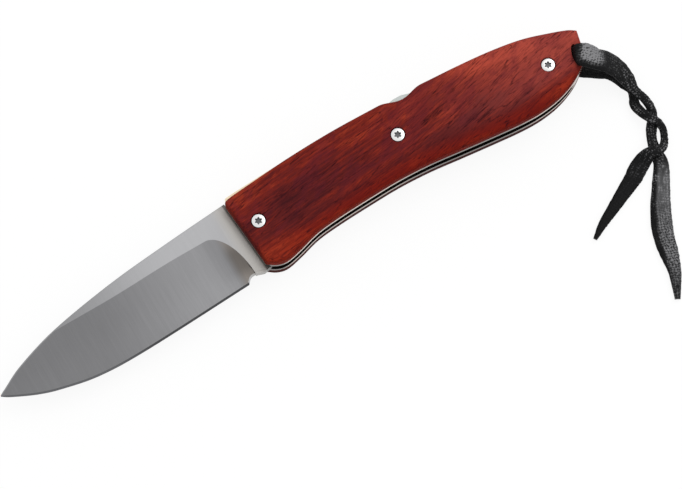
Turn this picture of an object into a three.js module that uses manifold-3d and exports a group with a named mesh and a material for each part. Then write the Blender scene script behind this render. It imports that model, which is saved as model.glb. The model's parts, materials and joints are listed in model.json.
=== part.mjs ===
// A folding pocket knife with a lock bar in its back, lying open on its flat side.
// Millimetres. While it is drawn, the origin is the axis of the blade's pivot at the resting
// face: +X runs from the blade's tip to the butt, +Y to the spine side, +Z through the thickness.
import * as THREE from 'three';
import { mergeVertices } from 'three/addons/utils/BufferGeometryUtils.js';
import Module from 'manifold-3d';

const wasm = await Module();
wasm.setup();

// Thickness stack, from the resting face up
const SCALE = 3.7;
const LINER = 1.1;
const WASHER = 0.3;
const BLADE = 2.4;
const SLOT = BLADE + 2 * WASHER;
const LINER_LOW = SCALE;
const SLOT_LOW = LINER_LOW + LINER;
const BLADE_LOW = SLOT_LOW + WASHER;
const SLOT_HIGH = SLOT_LOW + SLOT;
const LINER_HIGH = SLOT_HIGH + LINER;
const THICKNESS = LINER_HIGH + SCALE;
const MIDDLE = THICKNESS / 2;

// Clearances
const TURNING_FIT = 0.3;
const SEAT_FIT = 0.3;
const POCKET_FIT = 0.3;
const SPRING_FIT = 0.1;

// Blade's reach from its shoulder, and its depth. It folds into the handle, which follows both.
const BLADE_LENGTH = 74;
const BLADE_DEPTH = 22.8;
const SHOULDER_X = -7.7;
const TIP_X = SHOULDER_X - BLADE_LENGTH;
const CLOSED_ANGLE = THREE.MathUtils.degToRad(176);

// Handle
const SHOULDER_COVER = 0.3;
const BUTT_ROOM = 12;
const BLADE_PROUD = 2.8;
const HANDLE_FRONT_X = SHOULDER_X - SHOULDER_COVER;
const HANDLE_END_X = BUTT_ROOM - TIP_X;
const HANDLE_DEPTH = BLADE_DEPTH - BLADE_PROUD;
const EDGE_ROUND = 1.5;
const ROUND_STEPS = 4;
const BUTT_TAPER = 0.5;
const BUTT_TAPER_LENGTH = 19.7;
const NOTCH_HALF = 6.3;
const NOTCH_DEPTH = 1.35;
const STATIONS = 45;

// Blade
const GRIND_Y = 6.2;
const RICASSO_LENGTH = 9.3;
const PLUNGE_X = SHOULDER_X - RICASSO_LENGTH;
const PLUNGE_WIDTH = 7;
const PLUNGE_FOOT_Y = -8;
const EDGE_THICKNESS = 0.12;
const BEVEL_HEIGHT = 0.55;
const BEVEL_THICKNESS = 0.5;
const SPINE_CHAMFER = 0.25;
const HEEL_LENGTH = 5.1;
const HEEL_X = SHOULDER_X - HEEL_LENGTH;

// Pivot and lock
const PIVOT_RADIUS = 2.0;
const PIVOT_HEAD_RADIUS = 2.5;
const PIVOT_HEAD = 0.9;
const WASHER_RADIUS = 5.0;
const CAM_RADIUS = 7.6;
const NOTCH_FLOOR_Y = 5.6;
const TANG_FLAT_START_X = -2.5;
const TANG_HEEL_SHARE = -0.92;
const LUG_SETBACK = 0.6;
const LUG_FRONT_X = SHOULDER_X + LUG_SETBACK;
const LUG_WIDTH = 3.2;
const BAR_CAM_GAP = 1.0;
const BAR_UNDER_Y = CAM_RADIUS + BAR_CAM_GAP;
const SPACER_LENGTH = 39.9;
const SPACER_FRONT_X = HANDLE_END_X - SPACER_LENGTH;
const BAR_SPACER_GAP = 1.0;
const BAR_END_X = SPACER_FRONT_X - BAR_SPACER_GAP;
const BAR_TAIL_LENGTH = 8.8;
const BAR_TAIL_X = BAR_END_X - BAR_TAIL_LENGTH;
const BAR_TAIL_DEPTH = 2.8;
const BAR_PIN_TO_END = 16.8;
const BAR_PIN_X = BAR_END_X - BAR_PIN_TO_END;
const BAR_PIN_RADIUS = 1.0;
const NOTCH_TO_BAR_END = 7.6;
const NOTCH_X = BAR_END_X - NOTCH_TO_BAR_END;
const THUMB_PAD_SHARE = 0.85;
const REST_LIFT = THREE.MathUtils.degToRad(2);

// Lock spring and back spacer
const CLOSED_BLADE_GAP = 0.9;
const SPACER_BUTT = 9.5;
const SPACER_BUTT_X = HANDLE_END_X - SPACER_BUTT;
const SPRING_THICKNESS = 0.6;
const SPRING_REACH = 7.3;
const SPRING_ROOT = 11.2;
const SPRING_TIP_X = SPACER_FRONT_X - SPRING_REACH;
const SPRING_ROOT_X = SPACER_FRONT_X + SPRING_ROOT;
const SPRING_RISE = 0.15;
const SPRING_BAR_GAP = 0.7;

// Fasteners
const REAR_SCREW_TO_END = 11.5;
const MIDDLE_SCREW_TO_END = 54.5;
const SCALE_SCREWS = {
  front: [-2.95, 2.7],
  middle: [HANDLE_END_X - MIDDLE_SCREW_TO_END, 4.1],
  rear: [HANDLE_END_X - REAR_SCREW_TO_END, 0.55],
};
const HEAD_RADIUS = 1.8;
const HEAD = 1.1;
const HEAD_CHAMFER = 0.2;
const HEAD_RECESS = 0.15;
const SHANK_RADIUS = 0.9;
const RECESS_RADIUS = 1.0;
const RECESS_DEPTH = 0.6;
const BARREL_BORE_DEPTH = 1.8;
const REAR_BARREL_RADIUS = 1.7;
const SPACER_PIN_RADIUS = 0.9;
const FRONT_PIN_INSET = 3.2;
const REAR_PIN_TO_END = 20.7;
const REAR_PIN_DEPTH = 3.3;

// Slot for the thong, and the thong
const SLOT_TO_END = 3.7;
const THONG_SLOT = { x: HANDLE_END_X - SLOT_TO_END, y: -0.6, halfWidth: 1.1, halfLength: 2.9, turn: -0.27 };
const THONG_WIDTH = 4.6;
const THONG_THICKNESS = 1.1;
const THONG_STEPS = 40;
// How wide the thong is along its way, each as share of its length and of its width
const THONG_WIDTHS = [
  [0, 1.05], [0.15, 1.05], [0.26, 0.55], [0.5, 0.5], [0.62, 0.85], [0.76, 1.15], [0.88, 0.9], [1, 0.35],
];

// Handle outline, each point as a share of the handle's length from its front and of its depth from
// the pivot: spine from front to butt, then belly from front to butt
const SPINE = [
  [0, 0.53], [0.011, 0.59], [0.079, 0.625], [0.197, 0.67], [0.324, 0.69], [0.452, 0.678], [0.492, 0.67],
  [0.531, 0.663], [0.57, 0.653], [0.61, 0.64], [0.688, 0.615], [0.777, 0.5725], [0.865, 0.5],
  [0.934, 0.4], [0.979, 0.3175], [1, 0.25],
];
const BELLY = [
  [0.012, -0.365], [0.035, -0.445], [0.064, -0.475], [0.108, -0.43], [0.167, -0.35], [0.236, -0.315],
  [0.324, -0.295], [0.413, -0.285], [0.501, -0.308], [0.59, -0.36], [0.678, -0.41], [0.757, -0.448],
  [0.816, -0.45], [0.875, -0.405], [0.931, -0.295], [0.982, -0.11],
];
// Blade outline, each point as a share of the blade's length from its shoulder and of its depth from
// the pivot: spine from tip to shoulder, edge from tip to heel, then the choil
const HEEL_SHARE = HEEL_LENGTH / BLADE_LENGTH;
const BLADE_SPINE = [
  [1, -0.07], [0.965, 0.004], [0.882, 0.125], [0.72, 0.281], [0.477, 0.417], [0.234, 0.493], [0, 0.542],
];
const BLADE_EDGE = [
  [1, -0.088], [0.965, -0.156], [0.882, -0.283], [0.801, -0.364], [0.666, -0.441], [0.477, -0.458],
  [HEEL_SHARE, -0.386],
];
const CHOIL = [
  [HEEL_SHARE, -0.386], [0.73 * HEEL_SHARE, -0.325], [0.45 * HEEL_SHARE, -0.309], [0, -0.364],
];

const finishes = {
  wood: { color: 0x6e1e19, roughness: 0.38, metalness: 0 },
  satinSteel: { color: 0xa4a6a6, roughness: 0.3, metalness: 1 },
  linerSteel: { color: 0xb9aa9c, roughness: 0.35, metalness: 1 },
  polishedSteel: { color: 0xc4c6c8, roughness: 0.2, metalness: 1 },
  springSteel: { color: 0x8a8d90, roughness: 0.35, metalness: 1 },
  bronze: { color: 0xa77b45, roughness: 0.4, metalness: 1 },
  leather: { color: 0x1b1b1c, roughness: 0.6, metalness: 0 },
};

const knife = new THREE.Group();

function addPiece(name, geometry, finish) {
  const mesh = new THREE.Mesh(geometry, new THREE.MeshStandardMaterial(finishes[finish]));
  mesh.name = name;
  knife.add(mesh);
  return mesh;
}

// Booleans
function toSolid(geometry) {
  const bare = geometry.clone();
  bare.deleteAttribute('normal');
  bare.deleteAttribute('uv');
  const merged = mergeVertices(bare, 1e-5);
  return new wasm.Manifold(new wasm.Mesh({
    numProp: 3,
    vertProperties: new Float32Array(merged.attributes.position.array),
    triVerts: new Uint32Array(merged.index.array),
  }));
}

function toGeometry(solid) {
  const mesh = solid.getMesh();
  const geometry = new THREE.BufferGeometry();
  geometry.setAttribute('position', new THREE.BufferAttribute(new Float32Array(mesh.vertProperties), 3));
  geometry.setIndex(new THREE.BufferAttribute(new Uint32Array(mesh.triVerts), 1));
  return geometry;
}

function cut(geometry, ...tools) {
  let solid = toSolid(geometry);
  for (const tool of tools) solid = solid.subtract(toSolid(tool));
  return toGeometry(solid);
}

// Basic forms
function rod(x, y, low, high, radius, segments = 24) {
  const geometry = new THREE.CylinderGeometry(radius, radius, high - low, segments);
  geometry.rotateX(Math.PI / 2);
  geometry.translate(x, y, (low + high) / 2);
  return geometry;
}

function slab(shape, low, high) {
  const geometry = new THREE.ExtrudeGeometry(shape, {
    depth: high - low,
    bevelEnabled: false,
    curveSegments: 20,
  });
  geometry.translate(0, 0, low);
  return geometry;
}

// A closed skin through equal rings of points, with its first and last ring closed off. A ring
// runs out along one side and back along the other, so a cap is a ladder between the two.
function skin(rings) {
  const count = rings[0].length;
  const positions = rings.flat().flatMap((point) => point.toArray());
  const faces = [];
  for (let ring = 0; ring < rings.length - 1; ring += 1) {
    for (let i = 0; i < count; i += 1) {
      const next = (i + 1) % count;
      const low = ring * count;
      const high = low + count;
      faces.push(low + i, low + next, high + next);
      faces.push(low + i, high + next, high + i);
    }
  }
  const last = (rings.length - 1) * count;
  for (let i = 0; i < count / 2 - 1; i += 1) {
    const across = count - 1 - i;
    faces.push(last + i, last + i + 1, last + across - 1);
    faces.push(last + i, last + across - 1, last + across);
    faces.push(i + 1, i, across - 1);
    faces.push(across - 1, i, across);
  }
  const geometry = new THREE.BufferGeometry();
  geometry.setAttribute('position', new THREE.Float32BufferAttribute(positions, 3));
  geometry.setIndex(faces);
  return geometry;
}

// Turns a list of shares into a smooth curve in millimetres
function handleCurve(shares) {
  const length = HANDLE_END_X - HANDLE_FRONT_X;
  const place = ([along, up]) => new THREE.Vector2(HANDLE_FRONT_X + along * length, up * HANDLE_DEPTH);
  return new THREE.SplineCurve(shares.map(place));
}

function bladeCurve(shares) {
  const place = ([along, up]) => new THREE.Vector2(SHOULDER_X - along * BLADE_LENGTH, up * BLADE_DEPTH);
  return new THREE.SplineCurve(shares.map(place));
}

// The height of a curve that runs steadily towards +X, at one x
function heightAt(curve, x) {
  let low = 0;
  let high = 1;
  for (let step = 0; step < 30; step += 1) {
    const middle = (low + high) / 2;
    if (curve.getPoint(middle).x < x) low = middle;
    else high = middle;
  }
  return curve.getPoint(low).y;
}

// Handle outline
const spineCurve = handleCurve(SPINE);
const bellyCurve = handleCurve(BELLY);

// Heights that follow the spine: the bar's pin stands in the middle of the bar, the spring lies
// under the bar's tail, and the spacer's pins stand clear of the spring's slit
const BAR_PIN_Y = (heightAt(spineCurve, BAR_PIN_X) + BAR_UNDER_Y) / 2;
const TAIL_UNDER_Y = heightAt(spineCurve, BAR_END_X) - BAR_TAIL_DEPTH;
const SPRING_Y = TAIL_UNDER_Y - SPRING_THICKNESS - SPRING_RISE - SPRING_BAR_GAP;
const SLIT_TOP_Y = SPRING_Y + SPRING_THICKNESS + SPRING_FIT;
const FRONT_PIN_X = SPACER_FRONT_X + FRONT_PIN_INSET;
const REAR_PIN_X = HANDLE_END_X - REAR_PIN_TO_END;
const SPACER_PINS = {
  front: [FRONT_PIN_X, (heightAt(spineCurve, FRONT_PIN_X) + SLIT_TOP_Y) / 2],
  rear: [REAR_PIN_X, heightAt(spineCurve, REAR_PIN_X) - REAR_PIN_DEPTH],
};

function notchAt(x) {
  const reach = Math.abs(x - NOTCH_X) / NOTCH_HALF;
  return reach < 1 ? NOTCH_DEPTH * Math.cos((reach * Math.PI) / 2) ** 2 : 0;
}

function handleOutline() {
  const belly = bellyCurve.getPoints(STATIONS);
  const spine = spineCurve.getPoints(STATIONS);
  for (const point of spine) point.y -= notchAt(point.x);
  return [...belly, ...spine.reverse()];
}

function insetOutline(outline, inset) {
  return outline.map((point, i) => {
    const before = outline[(i + outline.length - 1) % outline.length];
    const after = outline[(i + 1) % outline.length];
    const arriving = point.clone().sub(before).normalize();
    const leaving = after.clone().sub(point).normalize();
    const along = arriving.clone().add(leaving).normalize();
    const mitre = inset / Math.max(0.5, along.dot(leaving));
    return new THREE.Vector2(point.x - along.y * mitre, point.y + along.x * mitre);
  });
}

// How much of its full thickness a scale has at x: it thins towards the butt
function scaleShare(x) {
  return 1 - BUTT_TAPER * THREE.MathUtils.smoothstep(x, HANDLE_END_X - BUTT_TAPER_LENGTH, HANDLE_END_X);
}

function scaleBlank(top) {
  const outline = handleOutline();
  const levels = [[0, 0]];
  for (let step = 0; step <= ROUND_STEPS; step += 1) {
    const angle = (step / ROUND_STEPS) * (Math.PI / 2);
    levels.push([EDGE_ROUND * (1 - Math.cos(angle)), SCALE - EDGE_ROUND * (1 - Math.sin(angle))]);
  }
  const rings = levels.map(([inset, height]) => insetOutline(outline, inset).map((point) => {
    const rise = height * scaleShare(point.x);
    return new THREE.Vector3(point.x, point.y, top ? LINER_HIGH + rise : LINER_LOW - rise);
  }));
  return skin(top ? rings : rings.reverse());
}

function linerBlank(low) {
  const outline = handleOutline();
  return skin([low, low + LINER].map((z) => outline.map((point) => new THREE.Vector3(point.x, point.y, z))));
}

function thongSlot(low, high) {
  const shape = new THREE.Shape();
  const { x, y, halfWidth, halfLength, turn } = THONG_SLOT;
  shape.absellipse(x, y, halfWidth, halfLength, 0, Math.PI * 2, false, turn);
  return slab(shape, low, high);
}

// Fasteners
function seatHeight(x) {
  return SCALE * scaleShare(x + HEAD_RADIUS) - HEAD - HEAD_RECESS;
}

function starRecess(depth) {
  const shape = new THREE.Shape();
  const points = 24;
  for (let i = 0; i < points; i += 1) {
    const angle = (i / points) * Math.PI * 2;
    const radius = RECESS_RADIUS * (0.86 + 0.14 * Math.cos(6 * angle));
    const x = radius * Math.cos(angle);
    const y = radius * Math.sin(angle);
    if (i === 0) shape.moveTo(x, y);
    else shape.lineTo(x, y);
  }
  return slab(shape, -depth, 1);
}

// A screw standing on its seat at z = 0, with its head up and its shank down
function screwForm(headRadius, head, shank) {
  const profile = [
    [0, -shank], [SHANK_RADIUS, -shank], [SHANK_RADIUS, 0], [headRadius, 0],
    [headRadius, head - HEAD_CHAMFER], [headRadius - HEAD_CHAMFER, head], [0, head],
  ];
  const body = new THREE.LatheGeometry(profile.map(([r, z]) => new THREE.Vector2(r, z)), 24);
  body.rotateX(Math.PI / 2);
  const recess = starRecess(Math.min(RECESS_DEPTH, head - 0.3));
  recess.translate(0, 0, head);
  return cut(body, recess);
}

function placeScrew(name, form, [x, y], top, seat) {
  const mesh = addPiece(name, form, 'polishedSteel');
  mesh.position.set(x, y, top ? LINER_HIGH + seat : LINER_LOW - seat);
  if (!top) mesh.rotation.x = Math.PI;
}

// Scales and liners, top and bottom
for (const top of [true, false]) {
  const side = top ? 'top' : 'bottom';
  const inner = top ? LINER_HIGH : LINER_LOW;
  const outer = top ? THICKNESS + 1 : -1;
  const linerLow = top ? SLOT_HIGH : LINER_LOW;
  const outwards = top ? 1 : -1;
  const within = inner - outwards;
  const reach = (from, to) => [Math.min(from, to), Math.max(from, to)];
  const pocket = reach(within, inner + outwards * (PIVOT_HEAD + POCKET_FIT));
  const scaleCuts = [
    rod(0, 0, ...pocket, PIVOT_HEAD_RADIUS + POCKET_FIT),
    thongSlot(...reach(within, outer)),
  ];
  const linerCuts = [
    rod(0, 0, linerLow - 1, linerLow + LINER + 1, PIVOT_RADIUS + SEAT_FIT),
    rod(BAR_PIN_X, BAR_PIN_Y, linerLow - 1, linerLow + LINER + 1, BAR_PIN_RADIUS + SEAT_FIT),
    thongSlot(linerLow - 1, linerLow + LINER + 1),
  ];
  for (const [place, [x, y]] of Object.entries(SCALE_SCREWS)) {
    const seat = inner + outwards * seatHeight(x);
    scaleCuts.push(rod(x, y, ...reach(within, outer), SHANK_RADIUS + SEAT_FIT));
    scaleCuts.push(rod(x, y, ...reach(seat, outer), HEAD_RADIUS + SEAT_FIT));
    const hole = place === 'rear' ? REAR_BARREL_RADIUS : SHANK_RADIUS;
    linerCuts.push(rod(x, y, linerLow - 1, linerLow + LINER + 1, hole + SEAT_FIT));
    const intoBarrel = place === 'rear' ? BARREL_BORE_DEPTH - SEAT_FIT : LINER;
    const form = screwForm(HEAD_RADIUS, HEAD, seatHeight(x) + intoBarrel);
    placeScrew(`${place}_screw_${side}`, form, [x, y], top, seatHeight(x));
  }
  for (const [x, y] of Object.values(SPACER_PINS)) {
    linerCuts.push(rod(x, y, linerLow - 1, linerLow + LINER + 1, SPACER_PIN_RADIUS + SEAT_FIT));
  }
  addPiece(`${side}_scale`, cut(scaleBlank(top), ...scaleCuts), 'wood');
  addPiece(`${side}_liner`, cut(linerBlank(linerLow), ...linerCuts), 'linerSteel');
  const pivotScrew = screwForm(PIVOT_HEAD_RADIUS, PIVOT_HEAD, BARREL_BORE_DEPTH - SEAT_FIT);
  placeScrew(`pivot_screw_${side}`, pivotScrew, [0, 0], top, 0);
  const washerLow = top ? SLOT_HIGH - WASHER : SLOT_LOW;
  const washer = cut(
    rod(0, 0, washerLow, washerLow + WASHER, WASHER_RADIUS, 40),
    rod(0, 0, washerLow - 1, washerLow + WASHER + 1, PIVOT_RADIUS + TURNING_FIT),
  );
  addPiece(`washer_${side}`, washer, 'bronze');
}

function threadedBarrel(x, y, radius) {
  return cut(
    rod(x, y, LINER_LOW, LINER_HIGH, radius),
    rod(x, y, LINER_LOW - 1, LINER_LOW + BARREL_BORE_DEPTH, SHANK_RADIUS + SEAT_FIT),
    rod(x, y, LINER_HIGH - BARREL_BORE_DEPTH, LINER_HIGH + 1, SHANK_RADIUS + SEAT_FIT),
  );
}

addPiece('pivot_barrel', threadedBarrel(0, 0, PIVOT_RADIUS), 'polishedSteel');
addPiece('rear_barrel', threadedBarrel(...SCALE_SCREWS.rear, REAR_BARREL_RADIUS), 'polishedSteel');
addPiece('lock_bar_pin', rod(BAR_PIN_X, BAR_PIN_Y, LINER_LOW, LINER_HIGH, BAR_PIN_RADIUS), 'polishedSteel');
for (const [place, [x, y]] of Object.entries(SPACER_PINS)) {
  addPiece(`spacer_pin_${place}`, rod(x, y, LINER_LOW, LINER_HIGH, SPACER_PIN_RADIUS), 'polishedSteel');
}

// Blade: a flat grind from the grind line down to the edge bevel, with a curved plunge
const bladeSpine = bladeCurve(BLADE_SPINE);
const bladeEdge = bladeCurve(BLADE_EDGE);
const choil = bladeCurve(CHOIL);
const PLUNGE_END_X = PLUNGE_X + PLUNGE_WIDTH;

function grindLine(x) {
  if (x < PLUNGE_X) return GRIND_Y;
  const reach = Math.min(1, (x - PLUNGE_X) / PLUNGE_WIDTH);
  return PLUNGE_FOOT_Y + (GRIND_Y - PLUNGE_FOOT_Y) * Math.sqrt(1 - reach * reach);
}

function bladeRing(x) {
  const half = BLADE / 2;
  const spine = heightAt(bladeSpine, x);
  const edge = heightAt(x < HEEL_X ? bladeEdge : choil, x);
  const height = spine - edge;
  const bevel = edge + Math.min(BEVEL_HEIGHT, 0.3 * height);
  const whole = x >= PLUNGE_END_X;
  const grind = Math.max(grindLine(x), bevel + 0.05);
  const slope = (half - BEVEL_THICKNESS / 2) / (grind - bevel);
  const thicknessAt = (y) => (whole ? half : Math.min(half, BEVEL_THICKNESS / 2 + slope * (y - bevel)));
  const chamfer = Math.min(SPINE_CHAMFER, 0.2 * height);
  const knee = Math.min(grind, spine - 1.5 * chamfer);
  const side = [
    [edge, whole ? half : EDGE_THICKNESS / 2],
    [bevel, thicknessAt(bevel)],
    [(bevel + knee) / 2, thicknessAt((bevel + knee) / 2)],
    [knee, thicknessAt(knee)],
    [spine - chamfer, thicknessAt(spine - chamfer)],
    [spine, Math.max(0.05, thicknessAt(spine) - chamfer)],
  ];
  const under = side.map(([y, z]) => new THREE.Vector3(x, y, MIDDLE - z));
  const over = side.map(([y, z]) => new THREE.Vector3(x, y, MIDDLE + z)).reverse();
  return [...under, ...over];
}

function bladeStations() {
  const stations = [];
  const tipSteps = 12;
  const tipLength = 22;
  for (let i = 0; i <= tipSteps; i += 1) stations.push(TIP_X + tipLength * (i / tipSteps) ** 1.5);
  const bellySteps = 14;
  const bellyFrom = TIP_X + tipLength;
  for (let i = 1; i <= bellySteps; i += 1) {
    stations.push(bellyFrom + (PLUNGE_X - bellyFrom) * (i / bellySteps));
  }
  const plungeSteps = 12;
  for (let i = 1; i <= plungeSteps; i += 1) {
    stations.push(PLUNGE_X + PLUNGE_WIDTH * Math.sin((i / plungeSteps) * (Math.PI / 2)));
  }
  const ricassoSteps = 4;
  for (let i = 1; i <= ricassoSteps; i += 1) {
    stations.push(PLUNGE_END_X + 0.02 + (SHOULDER_X - PLUNGE_END_X - 0.02) * (i / ricassoSteps));
  }
  return stations;
}

// Where a point of the closed blade lies on the open one
function onTang(x, y) {
  return new THREE.Vector2(x, y).rotateAround(new THREE.Vector2(), -CLOSED_ANGLE);
}

// Under the lug the closed tang has a flat as low as the notch, so the bar drops there too
function tangShape() {
  const inside = SHOULDER_X - 1;
  const toothX = LUG_FRONT_X + LUG_WIDTH + TURNING_FIT;
  const ricassoFoot = heightAt(choil, SHOULDER_X);
  const flatFrom = onTang(TANG_FLAT_START_X, NOTCH_FLOOR_Y);
  const flatEnd = onTang(-Math.sqrt(CAM_RADIUS ** 2 - NOTCH_FLOOR_Y ** 2), NOTCH_FLOOR_Y);
  const shape = new THREE.Shape();
  shape.moveTo(inside, ricassoFoot + 1.5);
  shape.lineTo(SHOULDER_X, ricassoFoot + 0.05);
  shape.lineTo(0.5, TANG_HEEL_SHARE * CAM_RADIUS);
  shape.lineTo(flatFrom.x, flatFrom.y);
  shape.lineTo(flatEnd.x, flatEnd.y);
  shape.absarc(0, 0, CAM_RADIUS, flatEnd.angle() - Math.PI * 2, Math.acos(toothX / CAM_RADIUS), false);
  shape.lineTo(toothX, NOTCH_FLOOR_Y);
  shape.lineTo(inside, NOTCH_FLOOR_Y);
  return shape;
}

const bladeFront = toSolid(skin(bladeStations().map(bladeRing)));
const tang = toSolid(slab(tangShape(), BLADE_LOW, BLADE_LOW + BLADE));
const bore = toSolid(rod(0, 0, BLADE_LOW - 1, BLADE_LOW + BLADE + 1, PIVOT_RADIUS + TURNING_FIT, 36));
addPiece('blade', toGeometry(bladeFront.add(tang).subtract(bore)), 'satinSteel');

// Lock bar, drawn with its lug down in the notch of the tang, then turned up to clear the cam
function lockBarShape() {
  const lugBack = LUG_FRONT_X + LUG_WIDTH;
  const lugFoot = NOTCH_FLOOR_Y + TURNING_FIT;
  const overCam = CAM_RADIUS + 0.4;
  const shape = new THREE.Shape();
  shape.moveTo(LUG_FRONT_X, lugFoot);
  shape.lineTo(lugBack, lugFoot);
  shape.lineTo(lugBack, overCam);
  shape.lineTo(2.5, overCam);
  shape.quadraticCurveTo(5, overCam, 6.5, BAR_UNDER_Y);
  shape.lineTo(BAR_TAIL_X - 2, BAR_UNDER_Y);
  shape.quadraticCurveTo(BAR_TAIL_X, BAR_UNDER_Y, BAR_TAIL_X + 0.6, TAIL_UNDER_Y);
  shape.lineTo(BAR_END_X, TAIL_UNDER_Y);
  const topSteps = 26;
  const frontRound = 0.9;
  for (let i = 0; i <= topSteps; i += 1) {
    const x = BAR_END_X + (LUG_FRONT_X + frontRound - BAR_END_X) * (i / topSteps);
    shape.lineTo(x, heightAt(spineCurve, x) + THUMB_PAD_SHARE * notchAt(x));
  }
  const frontTop = heightAt(spineCurve, LUG_FRONT_X + frontRound);
  shape.quadraticCurveTo(LUG_FRONT_X, frontTop, LUG_FRONT_X, frontTop - frontRound);
  return shape;
}

const lockBar = cut(
  slab(lockBarShape(), BLADE_LOW, BLADE_LOW + BLADE),
  rod(BAR_PIN_X, BAR_PIN_Y, BLADE_LOW - 1, BLADE_LOW + BLADE + 1, BAR_PIN_RADIUS + TURNING_FIT),
);
lockBar.translate(-BAR_PIN_X, -BAR_PIN_Y, 0);
const lockBarMesh = addPiece('lock_bar', lockBar, 'linerSteel');
lockBarMesh.position.set(BAR_PIN_X, BAR_PIN_Y, 0);
lockBarMesh.rotation.z = -REST_LIFT;

// Leaf spring under the bar's tail, held in a slit of the back spacer
function springShape(grow) {
  const low = SPRING_Y - grow;
  const high = SPRING_Y + SPRING_THICKNESS + grow;
  const shape = new THREE.Shape();
  shape.moveTo(SPRING_ROOT_X + grow, low);
  shape.lineTo(SPRING_ROOT_X + grow, high);
  shape.lineTo(SPACER_FRONT_X, high);
  shape.quadraticCurveTo(SPRING_TIP_X + 2, high, SPRING_TIP_X - grow, high + SPRING_RISE);
  shape.lineTo(SPRING_TIP_X - grow, low + SPRING_RISE);
  shape.quadraticCurveTo(SPRING_TIP_X + 2, low, SPACER_FRONT_X, low);
  return shape;
}

addPiece('lock_spring', slab(springShape(0), BLADE_LOW, BLADE_LOW + BLADE), 'springSteel');

// Back spacer: fills the spine behind the bar and the butt, clear of the closed blade's edge
function spacerShape() {
  const shape = new THREE.Shape();
  const top = spineCurve.getPoints(STATIONS).filter((point) => point.x > SPACER_FRONT_X);
  const butt = bellyCurve.getPoints(STATIONS).filter((point) => point.x > SPACER_BUTT_X + 0.8);
  const closedEdge = bladeEdge.getPoints(4 * (BLADE_EDGE.length - 1)).reverse()
    .map((point) => point.rotateAround(new THREE.Vector2(), CLOSED_ANGLE))
    .filter((point) => point.x > SPACER_FRONT_X + 3 && point.x < -TIP_X - 2);
  const foot = heightAt(bellyCurve, SPACER_BUTT_X + 0.8) + 0.2;
  shape.moveTo(SPACER_FRONT_X, heightAt(spineCurve, SPACER_FRONT_X));
  shape.lineTo(SPACER_FRONT_X, closedEdge[0].y + CLOSED_BLADE_GAP + 0.3);
  for (const point of closedEdge) shape.lineTo(point.x, point.y + CLOSED_BLADE_GAP);
  const last = closedEdge.at(-1);
  shape.quadraticCurveTo(SPACER_BUTT_X - 0.4, last.y - 0.3, SPACER_BUTT_X - 0.3, last.y - 3);
  shape.lineTo(SPACER_BUTT_X + 0.5, foot);
  for (const point of butt) shape.lineTo(point.x, point.y);
  for (const point of top.reverse()) shape.lineTo(point.x, point.y);
  return shape;
}

const spacerCuts = [
  slab(springShape(SPRING_FIT), SLOT_LOW - 1, SLOT_HIGH + 1),
  thongSlot(SLOT_LOW - 1, SLOT_HIGH + 1),
  rod(...SCALE_SCREWS.rear, SLOT_LOW - 1, SLOT_HIGH + 1, REAR_BARREL_RADIUS + SEAT_FIT),
];
for (const [x, y] of Object.values(SPACER_PINS)) {
  spacerCuts.push(rod(x, y, SLOT_LOW - 1, SLOT_HIGH + 1, SPACER_PIN_RADIUS + SEAT_FIT));
}
addPiece('back_spacer', cut(slab(spacerShape(), SLOT_LOW, SLOT_HIGH), ...spacerCuts), 'linerSteel');

// The whole is moved so that its origin is the middle of the knife's foot print
const size = new THREE.Box3().setFromObject(knife, true);
const origin = new THREE.Vector3((size.min.x + size.max.x) / 2, (size.min.y + size.max.y) / 2, size.min.z);

// Thong: one flat strip through the slot, whose two halves are twisted round each other
const THONG_TOP = [
  [90.6, -1.1, 12.2], [92.6, -2.2, 12.1], [94.3, -4.3, 11], [96.1, -6.7, 8.5], [97.6, -9.3, 6],
  [98.6, -12.1, 4.2], [99, -14.6, 3.2], [99.6, -16.9, 2.4], [99.8, -19.5, 1.6], [99.6, -21.6, 1],
  [98.6, -23.2, 0.9], [97.2, -24.8, 0.9], [95.9, -27.2, 1.1], [95.1, -29.4, 1.1], [94.7, -31.5, 0.9],
  [94.2, -34.3, 0.8], [91.5, -38.8, 0.8], [88.8, -43.3, 0.8], [86.5, -48.1, 0.8], [85.1, -51.9, 0.8],
  [84.2, -56, 0.8], [83.3, -60, 0.8], [81.8, -63.7, 0.8], [80.3, -66.5, 0.8],
];
const THONG_BOTTOM = [
  [90, -2.6, 0.8], [91.7, -3.7, 0.8], [94.2, -5.6, 0.8], [95.9, -7.2, 0.8], [97.3, -9.8, 0.8],
  [98, -12.6, 0.8], [97.5, -15.1, 0.8], [96.6, -17.7, 0.9], [96.8, -20.5, 2], [98.1, -22.8, 3],
  [99.1, -24.6, 2.4], [99.2, -26.7, 1.2], [98.3, -29.2, 1.1], [96.3, -31.3, 2.2], [94.3, -30.6, 3.1],
  [92.2, -30.3, 2.1], [90.2, -30.9, 1], [88, -32, 0.8], [85.9, -33.5, 0.8], [81.6, -36, 0.8],
  [77.6, -38.2, 0.8], [73.9, -40.6, 0.8], [70.2, -42.4, 0.8],
];

function thongSection() {
  const shape = new THREE.Shape();
  shape.absellipse(0, 0, THONG_THICKNESS / 2, THONG_WIDTH / 2, 0, Math.PI * 2);
  return new THREE.Shape(shape.getPoints(8).slice(0, 8));
}

function widthShare(reach) {
  const next = Math.max(1, THONG_WIDTHS.findIndex(([at]) => at >= reach));
  const [start, from] = THONG_WIDTHS[next - 1];
  const [end, to] = THONG_WIDTHS[next];
  return THREE.MathUtils.mapLinear(reach, start, end, from, to);
}

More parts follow.
